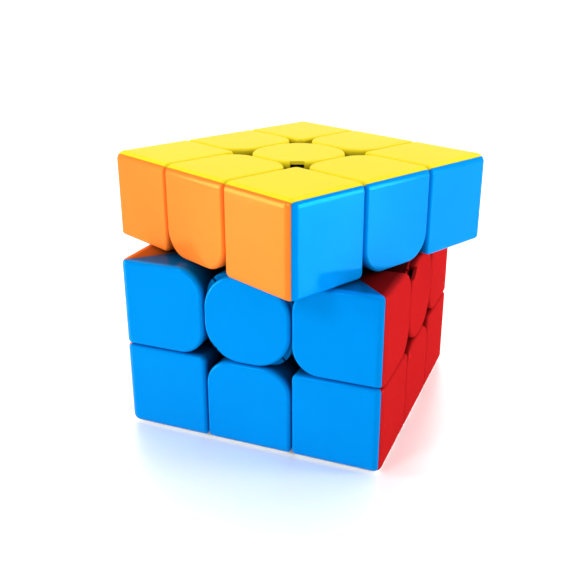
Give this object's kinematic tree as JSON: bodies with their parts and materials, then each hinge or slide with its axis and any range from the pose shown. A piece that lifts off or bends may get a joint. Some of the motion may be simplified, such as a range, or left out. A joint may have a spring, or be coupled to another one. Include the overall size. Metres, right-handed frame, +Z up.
{
  "type": "twisty puzzle cube",
  "caption": "Stickerless sprung puzzle cube whose layers turn about a hidden core, standing flat with its top layer part-way through a turn.",
  "frame": {"origin": "middle of the bottom face, on the turning axis of the top and bottom layers", "axes": "+Z up along that axis; -Y out of the blue face and +X out of the red face of the lower two layers"},
  "size_m": [0.0728, 0.0728, 0.0555],
  "materials": {
    "yellow": "smooth solid-coloured moulded plastic, satin gloss",
    "white": "smooth solid-coloured moulded plastic, satin gloss",
    "blue": "smooth solid-coloured moulded plastic, satin gloss",
    "green": "smooth solid-coloured moulded plastic, satin gloss",
    "red": "smooth solid-coloured moulded plastic, satin gloss",
    "orange": "smooth solid-coloured moulded plastic, satin gloss",
    "bright_steel": "bright plated steel",
    "black_core": "fine satin moulded plastic"
  },
  "bodies": {
    "middle_layer": {"core": "black_core", "top_screw": "bright_steel", "top_spring": "bright_steel", "bottom_screw": "bright_steel", "bottom_spring": "bright_steel", "front_screw": "bright_steel", "front_spring": "bright_steel", "back_screw": "bright_steel", "back_spring": "bright_steel", "right_screw": "bright_steel", "right_spring": "bright_steel", "left_screw": "bright_steel", "left_spring": "bright_steel", "front_right_edge_blue_half": "blue", "front_right_edge_red_half": "red", "back_right_edge_green_half": "green", "back_right_edge_red_half": "red", "back_left_edge_green_half": "green", "back_left_edge_orange_half": "orange", "front_left_edge_blue_half": "blue", "front_left_edge_orange_half": "orange"},
    "top_layer": {"top_front_edge_yellow_half": "yellow", "top_front_edge_blue_half": "blue", "top_right_edge_yellow_half": "yellow", "top_right_edge_red_half": "red", "top_back_edge_yellow_half": "yellow", "top_back_edge_green_half": "green", "top_left_edge_yellow_half": "yellow", "top_left_edge_orange_half": "orange", "top_front_right_corner": "yellow", "top_front_left_corner": "yellow", "top_back_right_corner": "yellow", "top_back_left_corner": "yellow"},
    "bottom_layer": {"bottom_front_edge_white_half": "white", "bottom_front_edge_blue_half": "blue", "bottom_right_edge_white_half": "white", "bottom_right_edge_red_half": "red", "bottom_back_edge_white_half": "white", "bottom_back_edge_green_half": "green", "bottom_left_edge_white_half": "white", "bottom_left_edge_orange_half": "orange", "bottom_front_right_corner": "white", "bottom_front_left_corner": "white", "bottom_back_right_corner": "white", "bottom_back_left_corner": "white"},
    "top_centre": {"top_centre_base": "yellow", "top_centre_cap": "yellow"},
    "bottom_centre": {"bottom_centre_base": "white", "bottom_centre_cap": "white"},
    "front_centre": {"front_centre_base": "blue", "front_centre_cap": "blue"},
    "back_centre": {"back_centre_base": "green", "back_centre_cap": "green"},
    "right_centre": {"right_centre_base": "red", "right_centre_cap": "red"},
    "left_centre": {"left_centre_base": "orange", "left_centre_cap": "orange"}
  },
  "joints": [
    {"name": "top_turn", "type": "hinge", "parent": "middle_layer", "child": "top_layer", "pos_m": [0, 0, 0.0462], "axis": [0, 0, 1], "continuous": true},
    {"name": "bottom_turn", "type": "hinge", "parent": "middle_layer", "child": "bottom_layer", "pos_m": [0, 0, 0.0092], "axis": [0, 0, 1], "continuous": true},
    {"name": "top_float", "type": "slide", "parent": "top_layer", "child": "top_centre", "axis": [0, 0, 1], "range_m": [0, 0.0008], "stiffness_N_per_m": 400, "springref_m": -0.002, "deforming": ["top_spring"]},
    {"name": "bottom_float", "type": "slide", "parent": "bottom_layer", "child": "bottom_centre", "axis": [0, 0, -1], "range_m": [0, 0.0008], "stiffness_N_per_m": 400, "springref_m": -0.002, "deforming": ["bottom_spring"]},
    {"name": "front_float", "type": "slide", "parent": "middle_layer", "child": "front_centre", "axis": [0, -1, 0], "range_m": [0, 0.0008], "stiffness_N_per_m": 400, "springref_m": -0.002, "deforming": ["front_spring"]},
    {"name": "back_float", "type": "slide", "parent": "middle_layer", "child": "back_centre", "axis": [0, 1, 0], "range_m": [0, 0.0008], "stiffness_N_per_m": 400, "springref_m": -0.002, "deforming": ["back_spring"]},
    {"name": "right_float", "type": "slide", "parent": "middle_layer", "child": "right_centre", "axis": [1, 0, 0], "range_m": [0, 0.0008], "stiffness_N_per_m": 400, "springref_m": -0.002, "deforming": ["right_spring"]},
    {"name": "left_float", "type": "slide", "parent": "middle_layer", "child": "left_centre", "axis": [-1, 0, 0], "range_m": [0, 0.0008], "stiffness_N_per_m": 400, "springref_m": -0.002, "deforming": ["left_spring"]}
  ]
}
